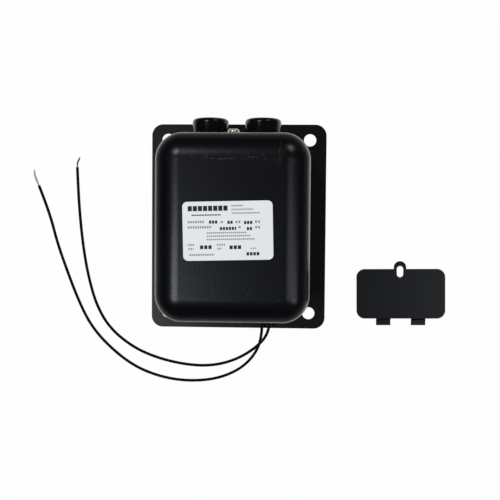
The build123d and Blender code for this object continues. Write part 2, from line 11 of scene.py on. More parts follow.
import bpy
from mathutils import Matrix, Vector


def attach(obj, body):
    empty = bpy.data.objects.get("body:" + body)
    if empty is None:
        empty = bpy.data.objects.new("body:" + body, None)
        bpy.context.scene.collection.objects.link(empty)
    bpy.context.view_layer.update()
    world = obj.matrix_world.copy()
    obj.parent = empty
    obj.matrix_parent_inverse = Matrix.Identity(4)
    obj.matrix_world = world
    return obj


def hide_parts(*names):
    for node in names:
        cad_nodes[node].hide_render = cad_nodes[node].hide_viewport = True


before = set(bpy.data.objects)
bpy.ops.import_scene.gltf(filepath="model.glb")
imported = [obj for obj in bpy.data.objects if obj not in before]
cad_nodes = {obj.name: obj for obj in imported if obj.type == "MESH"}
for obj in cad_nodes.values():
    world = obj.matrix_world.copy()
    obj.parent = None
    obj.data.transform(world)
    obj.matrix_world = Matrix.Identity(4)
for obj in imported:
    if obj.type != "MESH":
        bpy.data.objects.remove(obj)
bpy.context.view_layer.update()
print("CAD nodes:", len(cad_nodes))

# %% [markdown]
# The object's lengths are written in millimetres, as a maker would say them, and turned to metres
# where they are used. Only the large set round the object is written in metres.

# %% Units
MM = 0.001

# %% [markdown]
# ## The camera
# The photograph looks straight down from a little over half a metre, with the object a little to
# the left of the lens. The place, tilt and focal length were worked out from the four holes of the
# plate, whose spacing is known, and from how far the can's top leans outwards over its foot. The
# Standard view shows each colour as it was picked, where a film-like view would grey the white.

# %% Camera
SENSOR_WIDTH = 36
FOCAL_LENGTH = 58.54
CAMERA_PLACE = (34.8, 7.4, 584.9)
CAMERA_TILT = (-2.35, 2.6, 0.45)


def add_object(name, data):
    """A new object that shows this data in the scene."""
    shown = bpy.data.objects.new(name, data)
    bpy.context.scene.collection.objects.link(shown)
    return shown


camera_data = bpy.data.cameras.new("camera")
camera_data.sensor_width = SENSOR_WIDTH
camera_data.lens = FOCAL_LENGTH
camera = add_object("camera", camera_data)
camera.location = [length * MM for length in CAMERA_PLACE]
camera.rotation_euler = [math.radians(angle) for angle in CAMERA_TILT]
bpy.context.scene.camera = camera
bpy.context.scene.view_settings.view_transform = "Standard"
print("camera height above the table:", round(camera.location.z, 3), "m")

# %% [markdown]
# ## The supply leads
# Each lead is stranded copper in black plastic insulation, 2.06 mm thick. It leaves the can
# through the opening in the end wall, comes down over the edge of the plate and lies on the table
# in one wide sweep. The points are the corners of the CAD model's route.

# %% Routes of the leads
LEAD_DIAMETER = 2.06
LEAD_REST = LEAD_DIAMETER / 2
LEAD_ROUTES = {
    "lead_a": [
        (17.6, -45.15, 9.6), (17.6, -61.5, 9.6), (17.7, -78.0, 4.2), (13.4, -91.5, LEAD_REST),
        (2.0, -103.4, LEAD_REST), (-16.0, -110.9, LEAD_REST), (-38.3, -112.5, LEAD_REST),
        (-59.2, -108.8, LEAD_REST), (-77.5, -100.9, LEAD_REST), (-95.8, -86.1, LEAD_REST),
        (-108.4, -70.9, LEAD_REST), (-117.6, -51.4, LEAD_REST), (-125.2, -31.3, LEAD_REST),
        (-131.8, -12.6, LEAD_REST), (-137.5, 9.4, LEAD_REST), (-145.2, 28.6, LEAD_REST),
    ],
    "lead_b": [
        (23.6, -45.15, 12.6), (23.6, -60.0, 12.6), (22.6, -76.2, 11.4), (11.6, -88.2, 6.0),
        (-3.6, -97.4, LEAD_REST), (-20.4, -101.2, LEAD_REST), (-38.8, -100.3, LEAD_REST),
        (-58.6, -95.8, LEAD_REST), (-76.4, -88.2, LEAD_REST), (-93.2, -74.7, LEAD_REST),
        (-102.9, -58.2, LEAD_REST), (-108.7, -38.2, LEAD_REST), (-112.3, -18.4, LEAD_REST),
        (-114.6, 1.4, LEAD_REST), (-116.2, 22.0, LEAD_REST), (-117.0, 41.9, LEAD_REST),
    ],
}
print("corners in each route:", [len(route) for route in LEAD_ROUTES.values()])

# %% [markdown]
# A NURBS curve of order 3 gives such a sweep from a few points, with no kinks between them. Order
# and end point are set after the points are added, because a spline can't have a higher order than
# it has points. A wire's radius is its bevel depth times each point's radius. Blender also widens
# the curve's bounds by the points' radius, so the points carry the real radius and the bevel depth
# is 1.

# %% Leads as curves
CURVE_ORDER = 3


def add_spline(curve, points, radius):
    """Adds a smooth open spline with these control points and this radius, in metres."""
    spline = curve.splines.new("NURBS")
    spline.points.add(len(points) - 1)
    for point, corner in zip(spline.points, points):
        point.co = (*corner, 1)
        point.radius = radius
    spline.order_u = CURVE_ORDER
    spline.use_endpoint_u = True


def curve_object(name, routes, thickness, steps=12, roundness=5):
    """A round wire of that thickness in millimetres, along one or more routes.

    Steps and roundness are how finely it is divided, along each stretch and around it.
    """
    curve = bpy.data.curves.new(name, "CURVE")
    curve.dimensions = "3D"
    curve.resolution_u = steps
    curve.bevel_depth = 1 if thickness else 0
    curve.bevel_resolution = roundness
    curve.use_fill_caps = True
    for points in routes:
        add_spline(curve, points, thickness / 2 * MM)
    return add_object(name, curve)


leads = {}
for name, route in LEAD_ROUTES.items():
    metres = [[c * MM for c in corner] for corner in route]
    leads[name] = curve_object(name.replace("lead", "insulated_lead"), [metres], LEAD_DIAMETER)
print("leads laid:", list(leads))

# %% [markdown]
# ## The bare ends
# The last centimetre of each lead is stripped, and its tinned copper strands show, twisted
# together and a little splayed where they were cut. A plain rod would look like solid wire, so
# every strand is a thin curve of its own, which winds round the middle line of the bundle: one
# strand in the middle, five round it and ten outside. The stripping tool has pulled the strands
# straight, so the bundle swells a little past the insulation and closes again at its tip, and no
# two strands wander or end alike.

# %% Strands of the bare ends
STRAND_THICKNESS = 0.25
# How many strands each ring has, and its radius.
STRAND_RINGS = ((1, 0.0), (5, 0.24), (10, 0.46))
STRAND_LAY = 16.0
STRAND_STEPS = 11
SHORTEST_STRAND = 0.9
# Shares of a ring's radius: where the insulation ends, lost by the tip, and strayed on the way.
BUNDLE_WIDTH = 0.85
TIP_CLOSING = 0.2
WANDER_ACROSS = 0.3
WANDER_UP = 0.2
BARE_ROUTES = {
    "lead_a": [
        (-145.2, 28.6, 1.03), (-146.3, 31.3, 1.03), (-148.6, 36.2, 0.9), (-148.6, 41.1, 0.75),
    ],
    "lead_b": [
        (-117.0, 41.9, 1.03), (-117.1, 44.6, 1.03), (-115.9, 47.6, 0.85), (-114.8, 49.5, 0.75),
    ],
}
BARE_SWELL = {"lead_a": 0.75, "lead_b": 0.3}
chance = random.Random(18)


def middle_line(points):
    """Points, in millimetres, along the smooth line that these corners give."""
    guide = curve_object("guide", [points], 0)
    mesh = bpy.data.meshes.new_from_object(guide)
    line = [vertex.co.copy() for vertex in mesh.vertices]
    bpy.data.objects.remove(guide)
    bpy.data.meshes.remove(mesh)
    return line


def strand_route(line, ring_radius, start_angle, swell, cut):
    """One strand's points: round the middle line, and further from it halfway."""
    points = []
    drift = (chance.uniform(-1, 1), chance.uniform(-1, 1))
    for step in range(STRAND_STEPS):
        share = step / (STRAND_STEPS - 1) * cut
        index = share * (len(line) - 2)
        first = int(index)
        centre = line[first].lerp(line[first + 1], index - first)
        along = (line[first + 1] - line[first]).normalized()
        side = along.cross(Vector((0, 0, 1))).normalized()
        up = side.cross(along)
        run = (centre - line[0]).length
        angle = start_angle + 2 * math.pi * run / STRAND_LAY
        loose = swell * math.sin(math.pi * share)
        radius = ring_radius * (BUNDLE_WIDTH + loose - TIP_CLOSING * share)
        point = centre + side * (radius * math.cos(angle) + drift[0] * loose * WANDER_ACROSS)
        point += up * (radius * math.sin(angle) + drift[1] * loose * WANDER_UP)
        point.z = max(point.z, STRAND_THICKNESS / 2)
        points.append(point * MM)
    return points


bare_ends = {}
for name, route in BARE_ROUTES.items():
    line = middle_line(route)
    routes = []
    for count, ring_radius in STRAND_RINGS:
        for strand in range(count):
            angle = 2 * math.pi * strand / count
            cut = chance.uniform(SHORTEST_STRAND, 1.0)
            routes.append(strand_route(line, ring_radius, angle, BARE_SWELL[name], cut))
    bare_ends[name] = curve_object(
        f"bare_strands_{name[-1]}", routes, STRAND_THICKNESS, steps=4, roundness=2,
    )
print("strands in each bare end:", sum(count for count, _ in STRAND_RINGS))

# %% [markdown]
# The leads and their bare ends take the place of the CAD model's plain tubes, which are hidden,
# and they all belong to the one body that the object has.

for name, lead in leads.items():
    bare = bare_ends[name]
    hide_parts(name)
    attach(lead, "root")
    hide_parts(f"{name}_strands")
    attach(bare, "root")

# %% [markdown]
# ## Print on the label
# A rating label has lines of print, some bold and some so fine that they read as grey. Plain bars
# and dashes stand for them here, on the same lines and with the same weight.

# %% Lines of print
LABEL_SIZE = (56.0, 36.6)
LABEL_CENTRE = (-1.7, -1.6, 83.12)
LABEL_TURN = math.radians(1.45)
# Each line of print: where it starts and ends across the label, how far its middle is below the
# label's upper edge, its height, and the length of one dash and of the gap after it.
BOLD_PRINT = [
    (3.4, 28.2, 4.3, 3.2, 2.6, 0.56), (5.8, 23.9, 8.4, 0.8, 1.3, 0.3),
    (16.5, 21.9, 12.8, 1.9, 1.4, 0.45), (27.9, 31.5, 13.1, 1.9, 1.4, 0.45),
    (38.2, 43.7, 13.4, 1.9, 1.4, 0.45), (23.1, 33.3, 16.9, 1.9, 1.4, 0.45),
    (39.8, 43.2, 17.2, 1.9, 1.4, 0.45), (10.6, 17.9, 28.3, 2.3, 2.0, 0.6),
    (28.9, 36.2, 28.6, 2.3, 2.0, 0.6), (39.4, 47.4, 32.8, 2.0, 1.6, 0.5),
]
FINE_PRINT = [
    (30.5, 38.3, 2.9, 0.9, 0.9, 0.35), (30.5, 43.8, 5.2, 0.9, 0.9, 0.35),
    (30.9, 48.4, 7.5, 0.9, 0.9, 0.35),
    (3.2, 13.8, 12.6, 1.5, 1.0, 0.5), (23.7, 25.1, 12.9, 1.3, 1.4, 0.0),
    (32.9, 36.1, 13.0, 1.5, 1.2, 0.6), (45.0, 48.2, 13.0, 1.5, 1.2, 0.6),
    (3.2, 18.1, 15.9, 1.5, 1.0, 0.5), (34.7, 36.1, 16.2, 1.3, 1.4, 0.0),
    (45.0, 48.4, 16.4, 1.5, 1.2, 0.6),
    (14.9, 40.0, 19.5, 0.9, 0.9, 0.35), (14.9, 41.8, 21.5, 0.9, 0.9, 0.35),
    (14.9, 44.8, 23.6, 0.9, 0.9, 0.35),
    (3.2, 7.2, 26.7, 1.2, 0.9, 0.5), (3.4, 6.6, 29.2, 1.2, 0.9, 0.5),
    (21.1, 26.1, 26.9, 1.2, 0.9, 0.5), (21.5, 24.5, 29.3, 1.2, 0.9, 0.5),
    (42.0, 45.6, 29.4, 0.9, 0.8, 0.5), (3.8, 19.5, 33.0, 1.1, 1.0, 0.4),
]
print("lines of print:", len(BOLD_PRINT), "bold and", len(FINE_PRINT), "fine")

# %% [markdown]
# Ink is a thin layer on the film, so each dash is a thin slab of its own on the label's face, and
# turns with the label, which was stuck on a little askew.

# %% Dashes in place of print
INK_THICKNESS = 0.01
SHORTEST_DASH = 0.3
SLAB_FACES = ((0, 1, 5, 4), (1, 2, 6, 5), (2, 3, 7, 6), (3, 0, 4, 7), (4, 5, 6, 7), (3, 2, 1, 0))


def dashes(lines):
    """The boxes of all the dashes, as corner coordinates on the label."""
    boxes = []
    for start, end, drop, height, dash, gap in lines:
        left = start
        while left < end - SHORTEST_DASH:
            right = min(left + dash, end)
            boxes.append((left, right, drop - height / 2, drop + height / 2))
            left = right + gap
    return boxes


def mesh_object(name, points, faces):
    """A new object with a mesh of these corner points and faces."""
    mesh = bpy.data.meshes.new(name)
    mesh.from_pydata(points, [], faces)
    return add_object(name, mesh)


def print_layer(name, lines):
    """A mesh of thin slabs, one for each dash, on the label's face."""
    points = []
    faces = []
    for left, right, top, bottom in dashes(lines):
        faces += [[len(points) + corner for corner in face] for face in SLAB_FACES]
        for height in (0, INK_THICKNESS):
            for x, drop in ((left, bottom), (right, bottom), (right, top), (left, top)):
                across = x - LABEL_SIZE[0] / 2
                up = LABEL_SIZE[1] / 2 - drop
                turned_x = across * math.cos(LABEL_TURN) - up * math.sin(LABEL_TURN)
                turned_y = across * math.sin(LABEL_TURN) + up * math.cos(LABEL_TURN)
                point = Vector((turned_x, turned_y, height)) + Vector(LABEL_CENTRE)
                points.append(point * MM)
    layer = mesh_object(name, points, faces)
    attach(layer, "root")
    print(name, "dashes:", len(faces) // len(SLAB_FACES))
    return layer


bold_print = print_layer("label_print_bold", BOLD_PRINT)
fine_print = print_layer("label_print_fine", FINE_PRINT)

# %% [markdown]
# ## Materials as graphs of nodes
# A material is a small graph of nodes. Written out by hand, each node takes a line to make, some
# to set and some to link. One function does all of it, and the cells below stay short enough to
# read. A setting that is one of the node's own options is set on the node, and any other goes to
# the socket of that name or number: a Math node's terms are its sockets 0, 1 and 2. A socket can
# also be given a node, or one of its outputs, and is then linked to it.
#
# Colours are written as the sRGB hex values of a colour picker. Blender's sockets want linear
# light, so one function turns one into the other. A pattern's scale is how often it repeats in a
# metre, so it is worked out from the real size of its features.

# %% Colours, nodes and scales
def linear(hex_colour):
    """The linear RGBA of an sRGB hex colour such as '#1a2b3c'."""
    channels = [int(hex_colour[i:i + 2], 16) / 255 for i in (1, 3, 5)]
    return [c / 12.92 if c <= 0.04045 else ((c + 0.055) / 1.055) ** 2.4 for c in channels] + [1]


def add_node(tree, kind, settings=None):
    """Adds a node. Each setting is a value, or a node or output that is linked to that socket."""
    node = tree.nodes.new("ShaderNode" + kind)
    for name, value in (settings or {}).items():
        if isinstance(value, bpy.types.Node):
            value = value.outputs[0]
        if isinstance(value, bpy.types.NodeSocket):
            tree.links.new(value, node.inputs[name])
        elif isinstance(name, str) and hasattr(node, name):
            setattr(node, name, value)
        else:
            node.inputs[name].default_value = value
    return node


def per_metre(millimetres):
    """The texture scale that gives a noise pattern features of about this size."""
    return 1 / (millimetres * MM)


print("middle grey in linear light:", [round(c, 3) for c in linear("#808080")])
print("a pattern of 1 mm features has the scale", round(per_metre(1)))

# %% [markdown]
# Nearly every finish below is made in one way. A pattern mixes two close tones, because no real
# surface has only one. Another makes the gloss a little uneven, and a third is the height of a
# fine relief, which the Bump node turns into a lean of the surface. A Mix node has sockets of
# every type, so the ones for colours are known by their numbers.

# %% How a finish is built up
MIX_SHARE, MIX_FIRST, MIX_SECOND, MIXED = 0, 6, 7, 2


def empty_material(name):
    """A new material with an empty graph, and that graph."""
    material = bpy.data.materials.new(name)
    material.use_nodes = True
    material.node_tree.nodes.clear()
    return material, material.node_tree


def start_material(name, **surface):
    """A new material with one Principled surface, and its place on the object in metres."""
    material, tree = empty_material(name)
    principled = add_node(tree, "BsdfPrincipled", surface)
    add_node(tree, "OutputMaterial", {"Surface": principled})
    place = add_node(tree, "TexCoord").outputs["Object"]
    return material, tree, principled, place


def add_finish(tree, principled, tones, tone_share, gloss=None, relief=None):
    """Gives a surface two tones, and if asked an uneven gloss and a relief. Returns the tone.

    A gloss is a pattern, the mean roughness and how far it strays from that. A relief is a
    pattern, how strong its bump is and how high in millimetres.
    """
    mix = add_node(tree, "Mix", {
        "data_type": "RGBA", MIX_SHARE: tone_share,
        MIX_FIRST: linear(tones[0]), MIX_SECOND: linear(tones[1]),
    })
    tree.links.new(mix.outputs[MIXED], principled.inputs["Base Color"])
    if gloss:
        pattern, roughness, stray = gloss
        limits = {"To Min": roughness - stray, "To Max": roughness + stray}
        uneven = add_node(tree, "MapRange", {"Value": pattern, **limits})
        tree.links.new(uneven.outputs[0], principled.inputs["Roughness"])
    if relief:
        pattern, strength, height = relief
        size = {"Strength": strength, "Distance": height * MM}
        bump = add_node(tree, "Bump", {"Height": pattern, **size})
        tree.links.new(bump.outputs[0], principled.inputs["Normal"])
    return mix.outputs[MIXED]


print("colours go into a Mix node by sockets", MIX_FIRST, "and", MIX_SECOND)

# %% [markdown]
# ## Black stove enamel
# The can, the plate and the cover are steel sheet, sprayed with black alkyd enamel and baked. It
# is a smooth dielectric skin over metal: no metallic value, an IOR of 1.5, and a gloss that is
# dulled by the spray's fine texture. Two patterns make it look sprayed: orange peel, a soft ripple
# of about a millimetre, which bends the edges of reflections, and a finer grain that varies the
# gloss. The plate has had less paint than the can. It is a little greyer and duller, and a lower
# IOR stands for the weaker shine of its thin coat.

# %% Enamel
PEEL_SIZE = 1.2
PEEL_STRENGTH = 0.35
SPRAY_SIZE = 0.5
SPRAY_STRAY = 0.05
CLOUD_SIZE = 30
ENAMEL_TONES = ("#08090d", "#0b0c12")
PLATE_TONES = ("#0a0b10", "#0e1015")


def enamel(name, tones, roughness, peel_height, ior=1.5):
    """Baked black enamel on steel: orange peel in its relief and fine variation in its gloss."""
    material, tree, principled, place = start_material(name, IOR=ior)
    peel, spray, clouds = [
        add_node(tree, "TexNoise", {"Vector": place, "Scale": per_metre(size), "Detail": detail})
        for size, detail in ((PEEL_SIZE, 2.0), (SPRAY_SIZE, 3.0), (CLOUD_SIZE, 4.0))
    ]
    tone = add_finish(
        tree, principled, tones, clouds, gloss=(spray, roughness, SPRAY_STRAY),
        relief=(peel, PEEL_STRENGTH, peel_height),
    )
    return material, tree, principled, place, tone


plate_enamel = enamel(
    "stove_enamel_plate", PLATE_TONES, roughness=0.33, peel_height=0.1, ior=1.41,
)[0]
cover_enamel = enamel("stove_enamel_cover", ENAMEL_TONES, roughness=0.34, peel_height=0.08)[0]
inside_enamel = enamel("stove_enamel_inside", ENAMEL_TONES, roughness=0.5, peel_height=0.1)[0]
can_enamel, can_tree, can_surface, can_place, can_tone = enamel(
    "stove_enamel_can", ENAMEL_TONES, roughness=0.28, peel_height=0.1,
)
print("enamels made:", plate_enamel.name, cover_enamel.name, inside_enamel.name, can_enamel.name)

# %% [markdown]
# The can has been handled. Where its flat face turns into the rounded edge by the bushings, the
# enamel is rubbed grey in a thin line with specks round it, and a few short scratches and grains
# of dust are spread over the face. A scratch is the distance to a straight line between two
# points, made narrow, and broken up by a noise of about a millimetre.

# %% Scratches on the can
# Each scratch: where it starts and ends on the face, and its width.
SCRATCHES = [
    ((31.5, 56.0), (30.6, 52.3), 0.10), ((30.6, 52.3), (29.9, 48.5), 0.10),
    ((29.9, 48.5), (29.7, 45.3), 0.08), ((29.7, 45.3), (30.9, 40.2), 0.08),
    ((10.6, -41.3), (13.0, -39.3), 0.16), ((28.4, -45.8), (31.0, -43.6), 0.12),
    ((-14.0, 43.1), (-8.0, 42.7), 0.12), ((-8.0, 42.7), (-2.5, 42.8), 0.16),
    ((-2.5, 42.8), (2.5, 43.2), 0.10), ((25.0, 42.8), (31.5, 42.6), 0.07),
]
BREAK_SIZE = 1.2
BREAK_START = 0.4
BREAK_END = 0.62


def line_mask(tree, place, start, end, width):
    """1 on the straight line between two points of the can's face, fading to 0 beside it."""
    start = Vector((*start, 0)) * MM
    run = Vector((*end, 0)) * MM - start
    flat = add_node(tree, "VectorMath", {"operation": "MULTIPLY", 0: place, 1: (1, 1, 0)})
    offset = add_node(tree, "VectorMath", {"operation": "SUBTRACT", 0: flat, 1: start})
    dot = add_node(tree, "VectorMath", {"operation": "DOT_PRODUCT", 0: offset, 1: run})
    share = add_node(tree, "Math", {
        "operation": "DIVIDE", "use_clamp": True, 0: dot.outputs["Value"], 1: run.length_squared,
    })
    foot = add_node(tree, "VectorMath", {"operation": "SCALE", 0: run, "Scale": share})
    gap = add_node(tree, "VectorMath", {"operation": "DISTANCE", 0: offset, 1: foot})
    near = add_node(tree, "Math", {
        "operation": "DIVIDE", 0: gap.outputs["Value"], 1: width * MM,
    })
    return add_node(tree, "Math", {"operation": "SUBTRACT", "use_clamp": True, 0: 1.0, 1: near})


marks = 0.0
for start, end, width in SCRATCHES:
    scratch = line_mask(can_tree, can_place, start, end, width)
    marks = add_node(can_tree, "Math", {"operation": "MAXIMUM", 0: marks, 1: scratch})
breaks = add_node(
    can_tree, "TexNoise", {"Vector": can_place, "Scale": per_metre(BREAK_SIZE), "Detail": 3.0},
)
unbroken = add_node(
    can_tree, "MapRange", {"Value": breaks, "From Min": BREAK_START, "From Max": BREAK_END},
)
marks = add_node(can_tree, "Math", {"operation": "MULTIPLY", 0: marks, 1: unbroken})
print("scratches:", len(SCRATCHES))

# %% [markdown]
# The rubbed line and its dust lie just inside the place where the flat of the face ends, 43.65 mm
# from the middle, and fade out before the corners. Both are fine grey grains, denser in some
# places than in others. Elsewhere the face has only a grain of dust here and there: the middles of
# a Voronoi pattern's cells, kept where a wide noise allows it. Each of these is a pattern that
# counts fully up to one value, fades, and is gone from another value on.

# %% Where the can is rubbed and dusty
RUB_PLACE = 42.8
RUB_WIDTH = 5.0
RUB_REACH = 38.0
PATCH_SIZE = 6
DUST_SIZE = 0.6
SPECK_SPACING = 11

axes = add_node(can_tree, "SeparateXYZ", {0: can_place})
past_rub = add_node(
    can_tree, "Math", {"operation": "SUBTRACT", 0: axes.outputs["Y"], 1: RUB_PLACE * MM},
)
from_rub = add_node(can_tree, "Math", {"operation": "ABSOLUTE", 0: past_rub})
from_middle = add_node(can_tree, "Math", {"operation": "ABSOLUTE", 0: axes.outputs["X"]})
patches, dust = [
    add_node(can_tree, "TexNoise", {
        "Vector": can_place, "Scale": per_metre(size), "Detail": detail,
    })
    for size, detail in ((PATCH_SIZE, 3.0), (DUST_SIZE, 2.0))
]
specks = add_node(
    can_tree, "TexVoronoi",
    {"Vector": can_place, "Scale": per_metre(SPECK_SPACING), "Randomness": 1.0},
)
# Each fade: its pattern, where that counts fully, where it is gone, and its strength.
FADES = [
    (from_rub, 0.2 * RUB_WIDTH * MM, RUB_WIDTH * MM, 1.0),
    (from_middle, 0.75 * RUB_REACH * MM, RUB_REACH * MM, 1.0),
    (patches, 0.66, 0.45, 1.0),
    (patches, 0.6, 0.5, 1.0),
    (dust, 0.75, 0.61, 0.6),
    (specks, 0.02, 0.035, 0.4),
]
by_the_edge, off_the_corners, dusty, speckled, dust_grains, speck_grains = [
    add_node(can_tree, "MapRange", {
        "Value": pattern, "From Min": there, "From Max": gone, "To Min": strength, "To Max": 0.0,
    })
    for pattern, there, gone, strength in FADES
]
print("fades on the can:", len(FADES))

# %% [markdown]
# Multiplying two of these keeps what both allow, and the larger of two shows both. The result
# mixes a dusty grey into the enamel's own tone.

# %% Wear over the enamel
WORN_GREY = "#8f8f88"
MARK_STRENGTH = 0.5

tree = can_tree
rub_zone = add_node(tree, "Math", {"operation": "MULTIPLY", 0: by_the_edge, 1: off_the_corners})
grains = add_node(tree, "Math", {"operation": "MULTIPLY", 0: dust_grains, 1: dusty})
grains = add_node(tree, "Math", {"operation": "MULTIPLY", 0: grains, 1: rub_zone})
speck = add_node(tree, "Math", {"operation": "MULTIPLY", 0: speck_grains, 1: speckled})
worn = add_node(tree, "Math", {"operation": "MAXIMUM", 0: grains, 1: speck})
faint = add_node(tree, "Math", {"operation": "MULTIPLY", 0: marks, 1: MARK_STRENGTH})
worn = add_node(tree, "Math", {"operation": "MAXIMUM", "use_clamp": True, 0: worn, 1: faint})
worn_tone = add_node(tree, "Mix", {
    "data_type": "RGBA", MIX_SHARE: worn, MIX_FIRST: can_tone, MIX_SECOND: linear(WORN_GREY),
})
tree.links.new(worn_tone.outputs[MIXED], can_surface.inputs["Base Color"])
print("wear added to", can_enamel.name)

# %% [markdown]
# ## The label's film and ink
# The label is white polyester film with a satin top coat. It is a smooth plastic of IOR 1.5, with
# hardly any texture, so a faint ripple and a trace of handling in its gloss are enough. The ink is
# a thin matte coat. Fine print is finer than a pixel, so its dashes are a mid grey.

# %% Label film and ink
HANDLING_SIZE = 12
HANDLING_STRAY = 0.04
RIPPLE_HEIGHT = 0.05


def smooth_plastic(name, tones, roughness, ripple_size, ripple_strength, ior=1.5):
    """A moulded or printed plastic: one colour with faint clouds, and a faint ripple."""
    material, tree, principled, place = start_material(name, IOR=ior)
    clouds, ripple = [
        add_node(tree, "TexNoise", {"Vector": place, "Scale": per_metre(size), "Detail": detail})
        for size, detail in ((HANDLING_SIZE, 3.0), (ripple_size, 2.0))
    ]
    add_finish(
        tree, principled, tones, clouds, gloss=(clouds, roughness, HANDLING_STRAY),
        relief=(ripple, ripple_strength, RIPPLE_HEIGHT),
    )
    return material


label_film = smooth_plastic(
    "polyester_label_film", ("#ebecec", "#f0f1f0"),
    roughness=0.42, ripple_size=3.0, ripple_strength=0.05,
)
bold_ink = smooth_plastic(
    "black_label_ink", ("#141416", "#1b1b1e"),
    roughness=0.55, ripple_size=0.6, ripple_strength=0.1,
)
fine_ink = smooth_plastic(
    "fine_label_print", ("#85878c", "#96989d"),
    roughness=0.55, ripple_size=0.6, ripple_strength=0.1,
)
print("label:", label_film.name, bold_ink.name, fine_ink.name)

# %% [markdown]
# ## Lead insulation and grommet
# The insulation is black cross-linked polyethylene, extruded over the strands: smooth and a little
# waxy, with a faint unevenness. In the photograph it has no gloss to speak of, so its IOR is lower
# than the plastic's own 1.5. The grommet is matte black rubber with the grain of its mould.

# %% Insulation and rubber
insulation = smooth_plastic(
    "black_wire_insulation", ("#020202", "#040404"),
    roughness=0.6, ripple_size=0.9, ripple_strength=0.05, ior=1.25,
)
rubber = smooth_plastic(
    "grommet_rubber", ("#151515", "#1d1c1b"),
    roughness=0.72, ripple_size=0.3, ripple_strength=0.35,
)
print("cable parts:", insulation.name, rubber.name)

# %% [markdown]
# ## Glazed ceramic
# The bushings are turned porcelain, dipped in a brown-black glaze and fired. The glaze is glass:
# low roughness and a slow ripple where it ran, with a faint brown mottle where it is thin. An IOR
# of 1.42, a little under that of clean glass, allows for the dull film on an old glaze.
#
# The glaze also draws thin towards the bushing's mouth, so the surface leans over a little there.
# A flat flank would show one hard streak, and this lean gives the photograph's highlights, which
# are broad at the mouth and taper towards the can. The lean is a bump whose height falls with the
# square of the way from the can. Its pattern is a height in metres, so the Bump node takes it with
# a distance of 1.

# %% Dark glaze
GLAZE_TONES = ("#0e0d0b", "#15120e")
GLAZE_LEAN = math.radians(5.5)
GLAZE_FROM = 61.5
GLAZE_TO = 73.0
MOTTLE_SIZE = 2.5
RUN_SIZE = 5
RUN_HEIGHT = 0.012

glaze, tree, principled, place = start_material("brown_black_glaze", IOR=1.42, Roughness=0.15)
mottle, runs = [
    add_node(tree, "TexNoise", {"Vector": place, "Scale": per_metre(size), "Detail": detail})
    for size, detail in ((MOTTLE_SIZE, 5.0), (RUN_SIZE, 1.0))
]
add_finish(tree, principled, GLAZE_TONES, mottle)
along = add_node(tree, "SeparateXYZ", {0: place}).outputs["Y"]
past = add_node(tree, "Math", {"operation": "SUBTRACT", 0: along, 1: GLAZE_FROM * MM})
past = add_node(tree, "Math", {"operation": "MAXIMUM", 0: past, 1: 0.0})
square = add_node(tree, "Math", {"operation": "MULTIPLY", 0: past, 1: past})
steepening = math.tan(GLAZE_LEAN) / ((GLAZE_TO - GLAZE_FROM) * MM)
drawn_in = add_node(tree, "Math", {"operation": "MULTIPLY", 0: square, 1: -steepening / 2})
run_height = add_node(tree, "Math", {"operation": "MULTIPLY", 0: runs, 1: RUN_HEIGHT * MM})
height = add_node(tree, "Math", {"operation": "ADD", 0: drawn_in, 1: run_height})
bump = add_node(tree, "Bump", {"Height": height, "Strength": 1.0, "Distance": 1.0})
tree.links.new(bump.outputs[0], principled.inputs["Normal"])
print("ceramic:", glaze.name)

# %% [markdown]
# ## Bare and plated metals
# A metal's colour is its reflection, so these have the default IOR and a colour near the real
# metal's. Brass is a dull yellow with dark patches of tarnish and is fully metallic. Zinc plate is
# a bright grey with fine drawing marks, and tinned copper a warm grey that goes brown where the
# tin is thin. The zinc has a clear chromate film and the bright tin a dull one, which scatter part
# of the light, so these two are less than fully metallic.

# %% Metals
DRAWN_OUT = (1.0, 0.15, 1.0)
MARK_STRAY = 0.08
MARK_RELIEF = 0.2
MARK_HEIGHT = 0.02


def metal(name, tones, roughness, patch_size, mark_size, metallic=1.0):
    """A metal with patches between two tones and fine marks in its gloss and relief."""
    material, tree, principled, place = start_material(name, Metallic=metallic)
    drawn = add_node(tree, "VectorMath", {"operation": "MULTIPLY", 0: place, 1: DRAWN_OUT})
    patches, marks = [
        add_node(tree, "TexNoise", {"Vector": where, "Scale": per_metre(size), "Detail": detail})
        for where, size, detail in ((place, patch_size, 4.0), (drawn, mark_size, 3.0))
    ]
    add_finish(
        tree, principled, tones, patches, gloss=(marks, roughness, MARK_STRAY),
        relief=(marks, MARK_RELIEF, MARK_HEIGHT),
    )
    return material


zinc = metal(
    "zinc_plated_steel", ("#e8ebe0", "#fafbf4"),
    roughness=0.24, patch_size=2.0, mark_size=0.25, metallic=0.78,
)
brass = metal("brass", ("#8d6c38", "#b8955a"), roughness=0.34, patch_size=4.0, mark_size=0.3)
tinned = metal(
    "tinned_copper", ("#e2d8a8", "#f8f3de"),
    roughness=0.5, patch_size=1.6, mark_size=0.2, metallic=0.6,
)
tarnished = metal(
    "tarnished_tinned_copper", ("#7a7050", "#b9b090"),
    roughness=0.5, patch_size=1.6, mark_size=0.2,
)
print("metals:", zinc.name, brass.name, tinned.name, tarnished.name)

# %% [markdown]
# ## What is inside the can
# The core is a stack of thin silicon-steel sheets with a blue-grey oxide, the coils are enamelled
# copper wire in layers, on bobbins of phenolic board, and asphalt fills the rest. The stack's and
# the coils' lines are Wave textures: one band for each sheet or turn. A sheet is 0.5 mm thick and
# a wire 0.4 mm, both drawn at their real size. At scale 1 a Wave texture repeats every 2 pi / 20.

# %% Banded materials: core sheets and windings
WAVE_UNIT = 2 * math.pi / 20
SHEET_THICKNESS = 0.5
WIRE_THICKNESS = 0.4
BAND_WAVER = 0.6
BAND_CLOUD_SIZE = 6
BAND_RELIEF = 0.6
BAND_HEIGHT = 0.1


